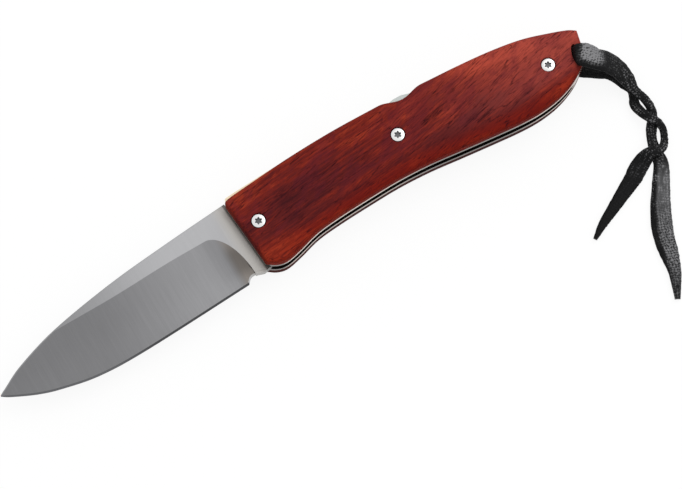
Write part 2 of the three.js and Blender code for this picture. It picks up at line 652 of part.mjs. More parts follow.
// A route whose section keeps one side up all the way, as a flat strip that lies down does
class FlatRoute extends THREE.CatmullRomCurve3 {
  computeFrenetFrames(segments) {
    const up = new THREE.Vector3(0, 0, 1);
    const frames = { tangents: [], normals: [], binormals: [] };
    for (let i = 0; i <= segments; i += 1) {
      const tangent = this.getTangentAt(i / segments);
      const across = tangent.clone().cross(up).normalize();
      frames.tangents.push(tangent);
      frames.normals.push(across.clone().cross(tangent).normalize());
      const side = tangent.clone().cross(frames.normals[i]).normalize();
      frames.binormals.push(side.multiplyScalar(widthShare(i / segments)));
    }
    return frames;
  }
}

function thongStrand(name, route) {
  const path = new FlatRoute(route.map((point) => new THREE.Vector3(...point)));
  const strand = new THREE.ExtrudeGeometry(thongSection(), { extrudePath: path, steps: THONG_STEPS });
  addPiece(name, strand, 'leather');
}

thongStrand('thong_top_strand', THONG_TOP);
thongStrand('thong_bottom_strand', THONG_BOTTOM);

const scene = new THREE.Group();
knife.position.copy(origin).negate();
scene.add(knife);

export default scene;
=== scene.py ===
# %% [markdown]
# # A folding pocket knife
#
# The knife lies open on its flat side: a ground steel blade, two red wooden scales over steel
# liners, a lock bar along the back and a leather thong through the butt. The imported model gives
# every rigid piece its place, so nothing here has to be fitted. What is added are smooth outlines,
# real finishes, the soft thong, the light and the camera.

import json
import math

import bmesh
import bpy
import numpy as np
from mathutils import Matrix, Vector, noise


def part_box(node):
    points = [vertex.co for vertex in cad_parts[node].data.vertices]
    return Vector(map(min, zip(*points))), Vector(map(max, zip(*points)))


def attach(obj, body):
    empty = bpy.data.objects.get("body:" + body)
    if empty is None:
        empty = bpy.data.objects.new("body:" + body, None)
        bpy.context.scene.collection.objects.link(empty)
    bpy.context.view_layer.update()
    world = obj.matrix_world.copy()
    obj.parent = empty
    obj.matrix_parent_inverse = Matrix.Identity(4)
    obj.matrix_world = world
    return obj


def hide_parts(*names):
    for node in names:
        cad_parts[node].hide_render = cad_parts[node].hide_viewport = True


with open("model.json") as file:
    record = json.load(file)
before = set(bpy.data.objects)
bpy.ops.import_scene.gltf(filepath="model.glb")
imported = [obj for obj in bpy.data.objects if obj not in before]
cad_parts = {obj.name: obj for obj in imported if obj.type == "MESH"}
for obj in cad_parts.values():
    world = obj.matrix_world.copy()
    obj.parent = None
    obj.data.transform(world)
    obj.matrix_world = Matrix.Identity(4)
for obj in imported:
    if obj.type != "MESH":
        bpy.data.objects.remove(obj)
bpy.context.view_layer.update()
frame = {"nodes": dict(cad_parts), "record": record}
nodes = frame["nodes"]
pivot = Vector(frame["record"]["behaviour"]["joints"][0]["pos_m"])
print(f"{len(nodes)} pieces, blade pivot at {tuple(round(v * 1000, 2) for v in pivot)} mm")

# %% [markdown]
# A knife is drawn from its pivot, because blade and handle both turn about it. All measures below
# are millimetres from the pivot's axis and up from the table, and one helper turns them into the
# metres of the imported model. The other choice, writing metres everywhere, hides the real sizes.

# %% From millimetres at the pivot to the model's metres
MM = 0.001
IN_MM = 1 / MM
SCALE, LINER, WASHER, BLADE = 3.7, 1.1, 0.3, 2.4
LINER_LOW = SCALE
BLADE_LOW = LINER_LOW + LINER + WASHER
LINER_HIGH = BLADE_LOW + BLADE + WASHER + LINER
MIDDLE = BLADE_LOW + BLADE / 2


def at(x, y, z):
    return Vector((pivot.x + x * MM, pivot.y + y * MM, z * MM))


print(f"the stack is {LINER_HIGH + SCALE:.1f} mm thick, its middle at {MIDDLE:.1f} mm")

# %% [markdown]
# The photograph was taken with a long lens from above, leaning 15 degrees towards the belly side,
# with the knife turned 31 degrees in the picture. A long lens keeps parallel edges parallel, as
# they are there. The camera comes first, because every piece after it is judged in its view.

# %% Camera
TURN = math.radians(30.868)
LEAN = math.radians(15)
DISTANCE = 0.9
PHOTO_WIDTH, PIXELS_PER_MM = 682, 3.92
VIEW_WIDTH = PHOTO_WIDTH / PIXELS_PER_MM * MM
SENSOR_WIDTH = 36

right = Vector((math.cos(TURN), -math.sin(TURN), 0))
up = Vector((math.sin(TURN), math.cos(TURN), 0))
towards = Vector((0, 0, 1)) * math.cos(LEAN) - up * math.sin(LEAN)
target = at(12.67, -12.0, MIDDLE)


def put(name, data):
    """An object with that name and data, put in the scene"""
    made = bpy.data.objects.new(name, data)
    bpy.context.collection.objects.link(made)
    return made


camera_data = bpy.data.cameras.new("camera")
camera_data.sensor_width = SENSOR_WIDTH
camera_data.lens = SENSOR_WIDTH * DISTANCE / VIEW_WIDTH
camera = put("camera", camera_data)
rows = zip(right, towards.cross(right), towards, target + towards * DISTANCE)
camera.matrix_world = Matrix((*rows, (0, 0, 0, 1)))
bpy.context.scene.camera = camera
bpy.context.scene.view_settings.view_transform = "Standard"
print(f"lens {camera_data.lens:.0f} mm at {DISTANCE} m")

# %% [markdown]
# Outlines of the knife are smooth lines through a few measured points. A spline through points
# keeps each point where it was measured, which a Bezier with free handles doesn't promise.

# %% Smooth lines through measured points
def smooth_point(points, share):
    """The place at that share of a smooth line through the points"""
    place = share * (len(points) - 1)
    first = min(int(place), len(points) - 2)
    t = place - first
    before, start, end, after = (
        Vector(points[min(max(first + step, 0), len(points) - 1)]) for step in (-1, 0, 1, 2)
    )
    leave, arrive = (end - before) / 2, (after - start) / 2
    return (
        start + leave * t
        + (3 * (end - start) - 2 * leave - arrive) * t ** 2
        + (2 * (start - end) + leave + arrive) * t ** 3
    )


def smooth_line(points, steps):
    return [smooth_point(points, step / steps) for step in range(steps + 1)]


def height_on(points, steps=600):
    """A function that gives the height of the smooth line at an x"""
    line = sorted((point.x, point.y) for point in smooth_line(points, steps))
    xs, ys = zip(*line)
    return lambda x: float(np.interp(x, xs, ys))


def ease(share):
    """A soft start and a soft end between 0 and 1"""
    share = min(1, max(0, share))
    return share * share * (3 - 2 * share)


hill = height_on([(0, 0), (5, 4), (10, 0)])
print(f"a smooth hill through (5, 4) is {hill(5):.1f} high at 5 and {hill(2.5):.1f} at 2.5")

# %% [markdown]
# Each piece that is added is a mesh. It rides on the body that carries it, so that it moves with the
# joint, and hides the pieces of the imported model that it stands for. Most are skins through a row of
# rings, because saw, belt and lathe all leave forms that change evenly along one line. Modelling them
# face by face would give the same shape, but no size could be changed afterwards.

# %% Mesh pieces
def add_piece(name, points, faces, body, slot, *stands_for):
    """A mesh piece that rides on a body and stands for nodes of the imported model"""
    mesh = bpy.data.meshes.new(name)
    mesh.from_pydata(points, [], faces)
    mesh.update()
    piece = put(name, mesh)
    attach(piece, body)
    if stands_for:
        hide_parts(*stands_for)
    return piece


def loft(rings, flat_ends=False):
    """Points and faces of a skin through equal closed rings. Each end is one flat face, or a
    ladder of small faces across its ring"""
    count = len(rings[0])
    points = [point for ring in rings for point in ring]
    last = len(points) - count
    faces = []
    for low in range(0, last, count):
        for i in range(count):
            after = (i + 1) % count
            faces.append((low + i, low + after, low + count + after, low + count + i))
    if flat_ends:
        return points, faces + [tuple(range(count))[::-1], tuple(range(last, last + count))]
    for i in range(count // 2 - 1):
        across = count - 1 - i
        faces.append((last + i, last + i + 1, last + across - 1, last + across))
        faces.append((i + 1, i, across, across - 1))
    return points, faces


def smooth(piece, degrees=32):
    """Soft shading, with edges sharper than that angle left crisp"""
    piece.data.shade_smooth()
    piece.data.set_sharp_from_angle(angle=math.radians(degrees))


square = [(0, 0), (1, 0), (1, 1), (0, 1)]
brick = loft([[(x, y, z) for x, y in square] for z in (0, 1)], flat_ends=True)
print(f"a skin through two squares has {len(brick[0])} points and {len(brick[1])} faces")

# %% [markdown]
# The thong is one flat leather strap, pushed through the slot in the butt and folded in half. Its
# halves leave over the top scale and under the knife, are twisted round each other twice and end
# as two cut tails. A curve with a flat bevel could make it, but then its width, its rolling over
# and its wrinkles could not change along the way, so each half is a skin through many sections.

# %% The slot, and the thong's two routes with the strap's width and how far it rolls over
SLOT_X, SLOT_Y, SLOT_TURN = 90, -0.6, -0.27
SLOT_HALF_WIDTH, SLOT_HALF_LENGTH = 1.1, 2.9
SLOT_LINE = Vector((math.sin(SLOT_TURN), -math.cos(SLOT_TURN), 0))
TOP_ROUTE = [
    (90.1, -0.6, 6.4, 4.4, 0), (90, -0.6, 8.4, 4.8, 0), (89.9, -0.7, 10.4, 5.2, 0),
    (90.4, -1.2, 11.9, 6, 0), (92, -2.5, 12.1, 6.6, 6), (93.9, -4.4, 11, 6.3, 12),
    (96.4, -6.2, 8.8, 6.6, 16), (98.3, -8.6, 6.4, 6, 20), (99.3, -11.7, 4.4, 4.7, 20),
    (99.7, -14.6, 3.2, 2.5, 10), (100.6, -17.2, 2.4, 2.4, 10), (101.1, -19.8, 1.6, 2.4, 5),
    (100.8, -21.9, 1, 2.4, 0), (99.8, -23.6, 0.9, 2.7, 0), (98.3, -25.4, 0.9, 2.9, 0),
    (97, -27.6, 1.1, 2.7, 5), (96.2, -29.9, 1.1, 3, 5), (95.9, -32.4, 0.9, 3.6, 0),
    (95.2, -35.1, 0.8, 4.1, -5), (92.5, -39.3, 0.8, 4.7, 0), (89.6, -43.7, 0.8, 5.3, 0),
    (87, -48.4, 0.8, 5.6, 0), (85.5, -52.1, 0.8, 5.5, 0), (84.4, -56.4, 0.8, 4.8, 0),
    (83.2, -60.6, 0.8, 3.5, 0), (81.6, -64, 0.8, 2.5, 0), (79.9, -67.3, 0.8, 1.5, 0),
]
BOTTOM_ROUTE = [
    (90.1, -0.6, 6.2, 4.4, 0), (90.1, -0.7, 3.6, 4.5, 0), (90.2, -1, 1.7, 4.6, 0),
    (90.9, -1.9, 0.8, 4.6, 0), (92.6, -3, 0.8, 4.8, 0), (95.1, -4.8, 0.8, 4.8, 0),
    (97, -6.2, 0.8, 4.6, 0), (98.3, -8.5, 0.8, 4.2, 0), (99.1, -11.4, 0.8, 3.6, 0),
    (99.5, -13.8, 0.8, 2.5, 0), (98.9, -15.9, 0.9, 2.6, -10), (98, -17.8, 1.4, 2.8, -10),
    (98.1, -20.2, 2.2, 2.6, -5), (99, -23, 3, 2.4, 0), (100.4, -25, 2.4, 2.2, 10),
    (100.7, -27.1, 1.3, 2, 5), (99.8, -29.3, 1.1, 2, 0), (97.9, -31.3, 2, 2.4, 0),
    (95.6, -31.3, 2.9, 2.7, 0), (93.8, -31.1, 2.5, 3.6, 0), (91.7, -31.7, 1.2, 4.5, 0),
    (89.4, -32.8, 0.9, 4.8, 0), (87.2, -34.2, 0.8, 4.6, 0), (83.1, -36.2, 0.8, 3.9, 0),
    (78.4, -38.5, 0.8, 3.1, 0), (73.9, -40.7, 0.8, 2.3, 0), (70.2, -43, 0.8, 1.1, 0),
]


def route_length(points):
    return sum((b - a).length for a, b in zip(points, points[1:]))


print(f"{len(TOP_ROUTE)} and {len(BOTTOM_ROUTE)} points lead away from the slot at x {SLOT_X} mm")

# %% The strap's section and its skin
STRAP_WIDTH, STRAP_HALF = 4.6, 0.55
STRAP_STEPS = 360
LIES_FLAT_AFTER = 9
OVER_TABLE = 0.15


def strap_section(width, cup, sides=24):
    """A flat section with round edges, cupped a little as leather dries"""
    section = []
    for i in range(sides):
        angle = 2 * math.pi * i / sides
        x = math.copysign(abs(math.cos(angle)) ** 0.55, math.cos(angle)) * width / 2
        z = math.copysign(abs(math.sin(angle)) ** 0.8, math.sin(angle)) * STRAP_HALF
        section.append((x, z + cup * (1 - (2 * x / width) ** 2)))
    return section


def strap(name, route, cup, way, node):
    """Half of the thong. Its width runs along the slot first, then it lies flat. Each point keeps
    its place on the strap for the leather's grain: how far along from the slot, with the sign of
    its half, how far across, and on which face"""
    seed = 4 + way
    stations = smooth_line(route, STRAP_STEPS)
    path = [at(*station[:3]) for station in stations]
    travelled = [route_length(path[:i + 1]) / MM for i in range(len(path))]
    rings, grain = [], []
    for i, station in enumerate(stations):
        width, roll = station[3:]
        along = (path[min(i + 1, len(path) - 1)] - path[max(i - 1, 0)]).normalized()
        flat = min(1, travelled[i] / LIES_FLAT_AFTER)
        side = along.cross(Vector((0, 0, 1))) * flat + SLOT_LINE * (1 - flat)
        side = (side - along * side.dot(along)).normalized()
        top = side.cross(along)
        # The strap sways slowly, its cut edge is ragged, and finer fibres fray on that edge
        wobble, ragged, frayed = (
            noise.noise(Vector((travelled[i] * pace, seed + apart, 0)))
            for pace, apart in ((0.26, 0), (0.9, 9), (1.9, 20))
        )
        turn = math.radians(roll + 5 * wobble)
        ring = []
        for across, over in strap_section(width * (1 + 0.04 * wobble) + 0.14 * ragged, cup):
            across += (0.16 * ragged + 0.12 * frayed) * (across < 0)
            grain += [way * travelled[i], across, math.copysign(1, over)]
            over += noise.noise(Vector((across * 0.5, travelled[i] * 0.7, seed))) * 0.12
            ring.append(path[i] + MM * (
                side * (across * math.cos(turn) - over * math.sin(turn))
                + top * (across * math.sin(turn) + over * math.cos(turn))
            ))
            ring[-1].z = max(ring[-1].z, OVER_TABLE * MM)
        rings.append(ring)
    piece = add_piece(name, *loft(rings), "handle", "leather", node)
    smooth(piece, degrees=60)
    piece.data.attributes.new("strap", "FLOAT_VECTOR", "POINT").data.foreach_set("vector", grain)
    print(f"{name}: {route_length(path) / MM:.1f} mm of strap")
    return piece


top_strap = strap("thong_top_half", TOP_ROUTE, 0.3, 1, "thong_top_strand")
bottom_strap = strap("thong_bottom_half", BOTTOM_ROUTE, 0.15, -1, "thong_bottom_strand")

# %% [markdown]
# The scales are slabs of wood with one outline: a hollow belly for the fingers, a high spine with
# the notch where the thumb presses the lock bar, and a butt that thins. A maker saws the outline,
# bores the holes and rounds the outer edge over. Here the rounding is a few inset copies of the
# outline, each a little higher, joined into a skin; a Bevel modifier would break on the notch.

# %% The handle's outline
SPINE = [
    (-8, 10.6), (-6.9, 11.8), (0, 12.5), (12, 13.4), (25, 13.8), (38, 13.56), (42, 13.4),
    (46, 13.26), (50, 13.06), (54, 12.8), (62, 12.3), (71, 11.45), (80, 10), (87, 8),
    (91.6, 6.35), (93.7, 5),
]
BELLY = [
    (-6.75, -7.3), (-4.4, -8.9), (-1.5, -9.5), (3, -8.6), (9, -7), (16, -6.3), (25, -5.9),
    (34, -5.7), (43, -6.16), (52, -7.2), (61, -8.2), (69, -8.96), (75, -9), (81, -8.1),
    (86.7, -5.9), (91.9, -2.2),
]
NOTCH_X, NOTCH_HALF, NOTCH_DEPTH = 45.2, 6.3, 1.35
OUTLINE_STEPS = 240


def notch_at(x):
    reach = abs(x - NOTCH_X) / NOTCH_HALF
    return NOTCH_DEPTH * math.cos(reach * math.pi / 2) ** 2 if reach < 1 else 0


def handle_outline():
    belly = smooth_line(BELLY, OUTLINE_STEPS)
    spine = smooth_line(SPINE, OUTLINE_STEPS)
    for point in spine:
        point.y -= notch_at(point.x)
    return belly + spine[::-1]


outline = handle_outline()
print(f"handle outline of {len(outline)} points")

# %% The outline moved inwards
def inset_outline(outline, inset, least_mitre=0.5, slack=0.01):
    """The outline moved inwards; what would cross over at a corner is gathered in that corner"""
    line = np.array(outline)
    run = np.roll(line, -1, axis=0) - line
    leaving = run / np.linalg.norm(run, axis=1)[:, None]
    along = leaving + np.roll(leaving, 1, axis=0)
    along /= np.linalg.norm(along, axis=1)[:, None]
    mitre = inset / np.maximum(least_mitre, (along * leaving).sum(axis=1))
    moved = line + np.stack([-along[:, 1], along[:, 0]], axis=1) * mitre[:, None]
    offset = moved[:, None] - line
    reach = np.clip((offset * run).sum(axis=2) / (run * run).sum(axis=1), 0, 1)
    gap = np.linalg.norm(offset - reach[..., None] * run, axis=2).min(axis=1)
    clear = np.flatnonzero(gap > inset - slack)
    nearest = np.abs(np.arange(len(line))[:, None] - clear).argmin(axis=1)
    return moved[clear[nearest]]


inner_heights = inset_outline(outline, 1.5)[:, 1]
print(f"1.5 mm inside the outline the handle is {np.ptp(inner_heights):.1f} mm deep")

# %% [markdown]
# Holes are cut with closed slabs that are taken away from a piece, as a drill and an end mill would
# take them. Drawing each hole into the faces would be cleaner, but the round edge runs right past
# the holes, and the exact solver of the Boolean modifier finds that meeting line by itself.

# %% Cutters
def prism(name, outline, low, high):
    """A closed upright slab over an outline, used as a cutter"""
    rings = [[at(x, y, z) for x, y in outline] for z in (low, high)]
    points, faces = loft(rings, flat_ends=True)
    mesh = bpy.data.meshes.new(name)
    mesh.from_pydata(points, [], faces)
    return put(name, mesh)


def ellipse(x, y, half_width, half_length, turn=0, steps=72):
    ring = []
    for i in range(steps):
        angle = 2 * math.pi * i / steps
        a, b = half_width * math.cos(angle), half_length * math.sin(angle)
        ring.append((
            x + a * math.cos(turn) - b * math.sin(turn),
            y + a * math.sin(turn) + b * math.cos(turn),
        ))
    return ring


def weld(piece, reach=1e-7):
    """Joins points that lie in one place"""
    work = bmesh.new()
    work.from_mesh(piece.data)
    bmesh.ops.remove_doubles(work, verts=work.verts, dist=reach)
    bmesh.ops.dissolve_degenerate(work, edges=work.edges, dist=reach)
    work.to_mesh(piece.data)
    work.free()


def cut_out(piece, cutters):
    """Takes each cutter away from the piece and keeps what is left as its mesh"""
    for cutter in cutters:
        step = piece.modifiers.new("cut", "BOOLEAN")
        step.operation = "DIFFERENCE"
        step.solver = "EXACT"
        step.object = cutter
    depsgraph = bpy.context.evaluated_depsgraph_get()
    mesh = bpy.data.meshes.new_from_object(piece.evaluated_get(depsgraph))
    piece.modifiers.clear()
    piece.data = mesh
    for cutter in cutters:
        bpy.data.objects.remove(cutter)


print(f"a round cutter has {len(ellipse(0, 0, 1, 1))} sides")

# %% Two scales, with their slot and the room for the screws
SCREWS = {"front": (-2.95, 2.7), "middle": (39.2, 4.1), "rear": (82.2, 0.55)}
HEAD_RADIUS, HEAD, SHANK_RADIUS = 1.8, 1.1, 0.9
FIT, HEAD_FIT, HEAD_SUNK = 0.3, 0.2, 0.15
HANDLE_END_X, BUTT_TAPER, BUTT_THINNING = 93.7, 19.7, 0.5
ROUNDING, ROUNDING_STEPS, WALL_SHARE = 1.5, 8, 0.3


def scale_share(x):
    """How much of its thickness a scale keeps towards the butt"""
    return 1 - BUTT_THINNING * ease((x - HANDLE_END_X + BUTT_TAPER) / BUTT_TAPER)


def scale(name, top):
    """A slab of wood over the outline, rounded over, with its slot and its holes"""
    inner, outwards = (LINER_HIGH, 1) if top else (LINER_LOW, -1)
    levels = [(0, 0), (0, SCALE * WALL_SHARE)]
    for step in range(ROUNDING_STEPS + 1):
        angle = step / ROUNDING_STEPS * math.pi / 2
        levels.append((
            ROUNDING * (1 - math.cos(angle)), SCALE - ROUNDING * (1 - math.sin(angle)),
        ))
    rings = []
    for inset, rise in levels:
        rings.append([
            at(x, y, inner + outwards * rise * scale_share(x))
            for x, y in inset_outline(outline, inset)
        ])
    if not top:
        rings = rings[::-1]
    piece = add_piece(f"{name}_wood", *loft(rings), "handle", "wood", name)
    weld(piece)
    beyond = inner + outwards * (SCALE + 1)
    ends = sorted((inner - outwards, beyond))
    slot = ellipse(SLOT_X, SLOT_Y, SLOT_HALF_WIDTH, SLOT_HALF_LENGTH, SLOT_TURN)
    cutters = [prism("slot", slot, *ends)]
    for x, y in SCREWS.values():
        seat = inner + outwards * (SCALE * scale_share(x + HEAD_RADIUS) - HEAD - HEAD_SUNK)
        shank, head = SHANK_RADIUS + FIT, HEAD_RADIUS + HEAD_FIT
        cutters.append(prism("shank", ellipse(x, y, shank, shank), *ends))
        cutters.append(prism("seat", ellipse(x, y, head, head), *sorted((seat, beyond))))
    cut_out(piece, cutters)
    smooth(piece)
    print(f"{piece.name}: {len(piece.data.polygons)} faces")
    return piece


top_wood = scale("top_scale", True)
bottom_wood = scale("bottom_scale", False)

# %% [markdown]
# The blade is ground flat from a line near its spine down to the edge, where a narrow bevel is
# honed. Near the handle the wheel leaves a curved shoulder. Every station along the blade is one
# section, so the grind comes out of a few sizes; sculpting could not keep the flats flat.
# Each band of the section is its own finish, because a belt brushes each in its own way.

# %% The blade's outline
BLADE_SPINE = [
    (-81.3, -1.85), (-79.11, -0.7), (-72.97, 2.24), (-60.98, 5.9), (-43, 9.03), (-25, 10.87),
    (-7.7, 12.24),
]
BLADE_EDGE = [
    (-81.3, -2.15), (-79.11, -3.56), (-72.97, -6.45), (-66.97, -8.35), (-56.98, -10.27),
    (-43, -10.58), (-12.8, -9.2),
]
CHOIL = [(-12.8, -9.2), (-11.6, -8), (-10, -7.8), (-7.7, -8.5)]
TIP_X, HEEL_X, SHOULDER_X = BLADE_SPINE[0][0], CHOIL[0][0], CHOIL[-1][0]
spine_height, edge_height, choil_height = map(height_on, (BLADE_SPINE, BLADE_EDGE, CHOIL))
print(f"{SHOULDER_X - TIP_X:.1f} mm of blade, {spine_height(-43) - edge_height(-43):.1f} mm deep")

# %% Its grind, section by section
GRIND_Y, PLUNGE_X, PLUNGE_WIDTH, PLUNGE_FOOT_Y = 6.2, -17, 7, -8
PLUNGE_END_X = PLUNGE_X + PLUNGE_WIDTH
SINK, SINK_X, SINK_WIDTH = 0.7, -24, 24
BEVEL_HEIGHT, BEVEL_HALF, EDGE_HALF = 0.55, 0.25, 0.06
SPINE_CHAMFER = 0.25
BEVEL_SHARE, CHAMFER_SHARE, LEAST = 0.3, 0.2, 0.05


def grind_line(x):
    """Where the flat ends and the grind begins: it sinks towards the tip and plunges at the heel"""
    reach = min(1, max(0, (x - PLUNGE_X) / PLUNGE_WIDTH))
    line = GRIND_Y - SINK * ease((SINK_X - x) / SINK_WIDTH)
    return PLUNGE_FOOT_Y + (line - PLUNGE_FOOT_Y) * math.sqrt(1 - reach * reach)


def blade_side(x):
    """Heights and half thicknesses of one section, from edge to spine"""
    half = BLADE / 2
    spine = spine_height(x)
    edge = edge_height(x) if x < HEEL_X else choil_height(x)
    height = spine - edge
    bevel = edge + min(BEVEL_HEIGHT, BEVEL_SHARE * height)
    whole = x >= PLUNGE_END_X
    grind = max(grind_line(x), bevel + LEAST)
    slope = (half - BEVEL_HALF) / (grind - bevel)
    chamfer = min(SPINE_CHAMFER, CHAMFER_SHARE * height)
    knee = min(grind, spine - 1.5 * chamfer)

    def thickness(y):
        return half if whole else min(half, BEVEL_HALF + slope * (y - bevel))

    return [
        (edge, half if whole else EDGE_HALF),
        (bevel, thickness(bevel)),
        ((bevel + knee) / 2, thickness((bevel + knee) / 2)),
        (knee, thickness(knee)),
        (spine - chamfer, thickness(spine - chamfer)),
        (spine, max(LEAST, thickness(spine) - chamfer)),
    ]


print(f"at x -43 the grind ends {spine_height(-43) - grind_line(-43):.1f} mm below the spine")

# %% The blade's skin and the band that each face belongs to
TIP_RUN = 22
AT_TIP, ALONG_BELLY, ROUND_PLUNGE, AT_HEEL = 50, 60, 50, 16
BANDS = ("bevel", "ground", "ground", "flat", "flat")
BAND_FINISHES = ("flat", "ground", "bevel")


def blade_stations():
    """Places along the blade, closer together at the tip and round the plunge"""
    stations = list(np.linspace(0, 1, AT_TIP) ** 1.5 * TIP_RUN + TIP_X)
    stations += list(np.linspace(TIP_X + TIP_RUN, PLUNGE_X, ALONG_BELLY))[1:]
    plunge = np.linspace(0, 1, ROUND_PLUNGE)[1:]
    stations += [PLUNGE_X + PLUNGE_WIDTH * math.sin(t * math.pi / 2) for t in plunge]
    return stations + list(np.linspace(PLUNGE_END_X + 0.02, SHOULDER_X, AT_HEEL))


stations = blade_stations()
rings = []
for x in stations:
    section = blade_side(x)
    under = [at(x, y, MIDDLE - half) for y, half in section]
    over = [at(x, y, MIDDLE + half) for y, half in section]
    rings.append(under + over[::-1])
blade = add_piece("blade_steel", *loft(rings), "blade", "satin_steel", "blade")

blade_bands = []
for x in stations[:-1]:
    for band in BANDS + ("flat",) + BANDS[::-1] + ("bevel",):
        blade_bands.append("flat" if band == "bevel" and x >= HEEL_X else band)
blade_bands += ["flat"] * (len(blade.data.polygons) - len(blade_bands))
smooth(blade, degrees=12)
print(f"{blade.name}: {len(blade.data.polygons)} faces, {blade_bands.count('bevel')} of them honed")

# %% [markdown]
# The tang turns between the liners, out of sight when the knife is open, but it shows from the
# front and at every other angle of the blade. Its outline is an arc for the lock bar to ride on,
# with a notch that the bar drops into. It could be part of the blade's skin, but an arc with a
# square notch isn't a row of sections, so it is a slab with a bored hole.

# %% Tang
CAM_RADIUS, NOTCH_FLOOR_Y, LUG_FRONT_X, LUG_WIDTH = 7.6, 5.6, -7.1, 3.2
BORE_RADIUS = 2.3
CLOSED = math.radians(176)


def on_tang(x, y):
    """A place of the handle, as it lies on the tang when the knife is closed"""
    turned = Matrix.Rotation(-CLOSED, 2) @ Vector((x, y))
    return turned.x, turned.y


tooth_x = LUG_FRONT_X + LUG_WIDTH + FIT
heel = (SHOULDER_X, choil_height(SHOULDER_X) + 0.05)
foot = (0.5, -0.92 * CAM_RADIUS)
cam_end = on_tang(-math.sqrt(CAM_RADIUS ** 2 - NOTCH_FLOOR_Y ** 2), NOTCH_FLOOR_Y)
cam = np.linspace(math.atan2(*cam_end[::-1]), math.acos(tooth_x / CAM_RADIUS), 60)[1:]
tang = [heel, foot, on_tang(-2.5, NOTCH_FLOOR_Y), cam_end]
tang += [(CAM_RADIUS * math.cos(angle), CAM_RADIUS * math.sin(angle)) for angle in cam]
tang += [(tooth_x, NOTCH_FLOOR_Y), (SHOULDER_X, NOTCH_FLOOR_Y)]
tang_rings = [[at(x, y, z) for x, y in tang] for z in (BLADE_LOW, BLADE_LOW + BLADE)]
tang_slab = loft(tang_rings, flat_ends=True)
tang_piece = add_piece("blade_tang", *tang_slab, "blade", "satin_steel")
bore = ellipse(0, 0, BORE_RADIUS, BORE_RADIUS)
cut_out(tang_piece, [prism("bore", bore, BLADE_LOW - 1, BLADE_LOW + BLADE + 1)])
smooth(tang_piece)
print(f"{tang_piece.name}: {len(tang_piece.data.polygons)} faces")

# %% [markdown]
# Six small screws with a six-lobed socket hold the scales. They are turned, so each head is a
# profile spun about its axis, and the socket is pressed in afterwards, so it is cut out of it.
# A Screw modifier would spin the profile too, but a cut needs a closed mesh, and a skin with flat
# ends is closed for sure.

# %% Screws
HEAD_CHAMFER, RECESS_RADIUS, RECESS_DEPTH = 0.22, 1.0, 0.6
AXIS_RADIUS = 0.02
TURNED_STEPS, LOBE_STEPS, LOBES = 72, 96, 6


def around(steps):
    return np.linspace(0, 2 * math.pi, steps, endpoint=False)


def screw(place, side):
    """A screw as one profile spun about its axis, with the socket cut into its head"""
    node = f"{place}_screw_{side}"
    low, high = (corner.z * IN_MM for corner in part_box(node))
    x, y = SCREWS[place]
    top = side == "top"
    face, down = (high, -1) if top else (low, 1)
    length = high - low
    profile = [
        (AXIS_RADIUS, 0), (HEAD_RADIUS - HEAD_CHAMFER - 0.1, 0.02),
        (HEAD_RADIUS - HEAD_CHAMFER * 0.4, 0.08), (HEAD_RADIUS, HEAD_CHAMFER + 0.06),
        (HEAD_RADIUS, HEAD), (SHANK_RADIUS, HEAD), (SHANK_RADIUS, length), (AXIS_RADIUS, length),
    ]
    rings = [
        [at(x + radius * math.cos(a), y + radius * math.sin(a), face + down * depth)
         for a in around(TURNED_STEPS)]
        for radius, depth in profile
    ]
    skin = loft(rings[::-1] if top else rings, flat_ends=True)
    piece = add_piece(f"{node}_turned", *skin, "handle", "polished_steel", node)
    lobes = []
    for a in around(LOBE_STEPS):
        radius = RECESS_RADIUS * (0.84 + 0.16 * math.cos(LOBES * a))
        lobes.append((x + radius * math.cos(a), y + radius * math.sin(a)))
    cut_out(piece, [prism("socket", lobes, *sorted((face + down * RECESS_DEPTH, face - down)))])
    smooth(piece, degrees=40)
    return piece


screws = [screw(place, side) for place in SCREWS for side in ("top", "bottom")]
print(f"{len(screws)} screws")

# %% [markdown]
# Finishes are written as sums. One small class wraps an output socket and gives it the ordinary
# signs, so a formula on values lays its own Math nodes, and a second class holds one material with
# one way to add any other node. Clicking the same net together by hand would take pages of lines.

# %% Sockets that can be added and multiplied
class Wire:
    """An output socket of a material, ready to be used in a formula"""

    def __init__(self, finish, socket):
        self.finish = finish
        self.socket = socket

    def math(self, operation, first, second):
        return self.finish.node("ShaderNodeMath", {"operation": operation}, {0: first, 1: second})

    def __add__(self, other):
        return self.math("ADD", self, other)

    def __radd__(self, other):
        return self.math("ADD", other, self)

    def __sub__(self, other):
        return self.math("SUBTRACT", self, other)

    def __rsub__(self, other):
        return self.math("SUBTRACT", other, self)

    def __mul__(self, other):
        return self.math("MULTIPLY", self, other)

    def __rmul__(self, other):
        return self.math("MULTIPLY", other, self)

    def __truediv__(self, other):
        return self.math("DIVIDE", self, other)

    def __rtruediv__(self, other):
        return self.math("DIVIDE", other, self)


def set_stops(elements, stops):
    """A ramp starts with two stops: they go to the ends, and the others are added between them"""
    elements[0].position, elements[1].position = stops[0][0], stops[-1][0]
    for position, tint in stops[1:-1]:
        elements.new(position)
    for element, (position, tint) in zip(elements, stops):
        element.color = tint


print("formulas can be written with", ", ".join("+-*/"))

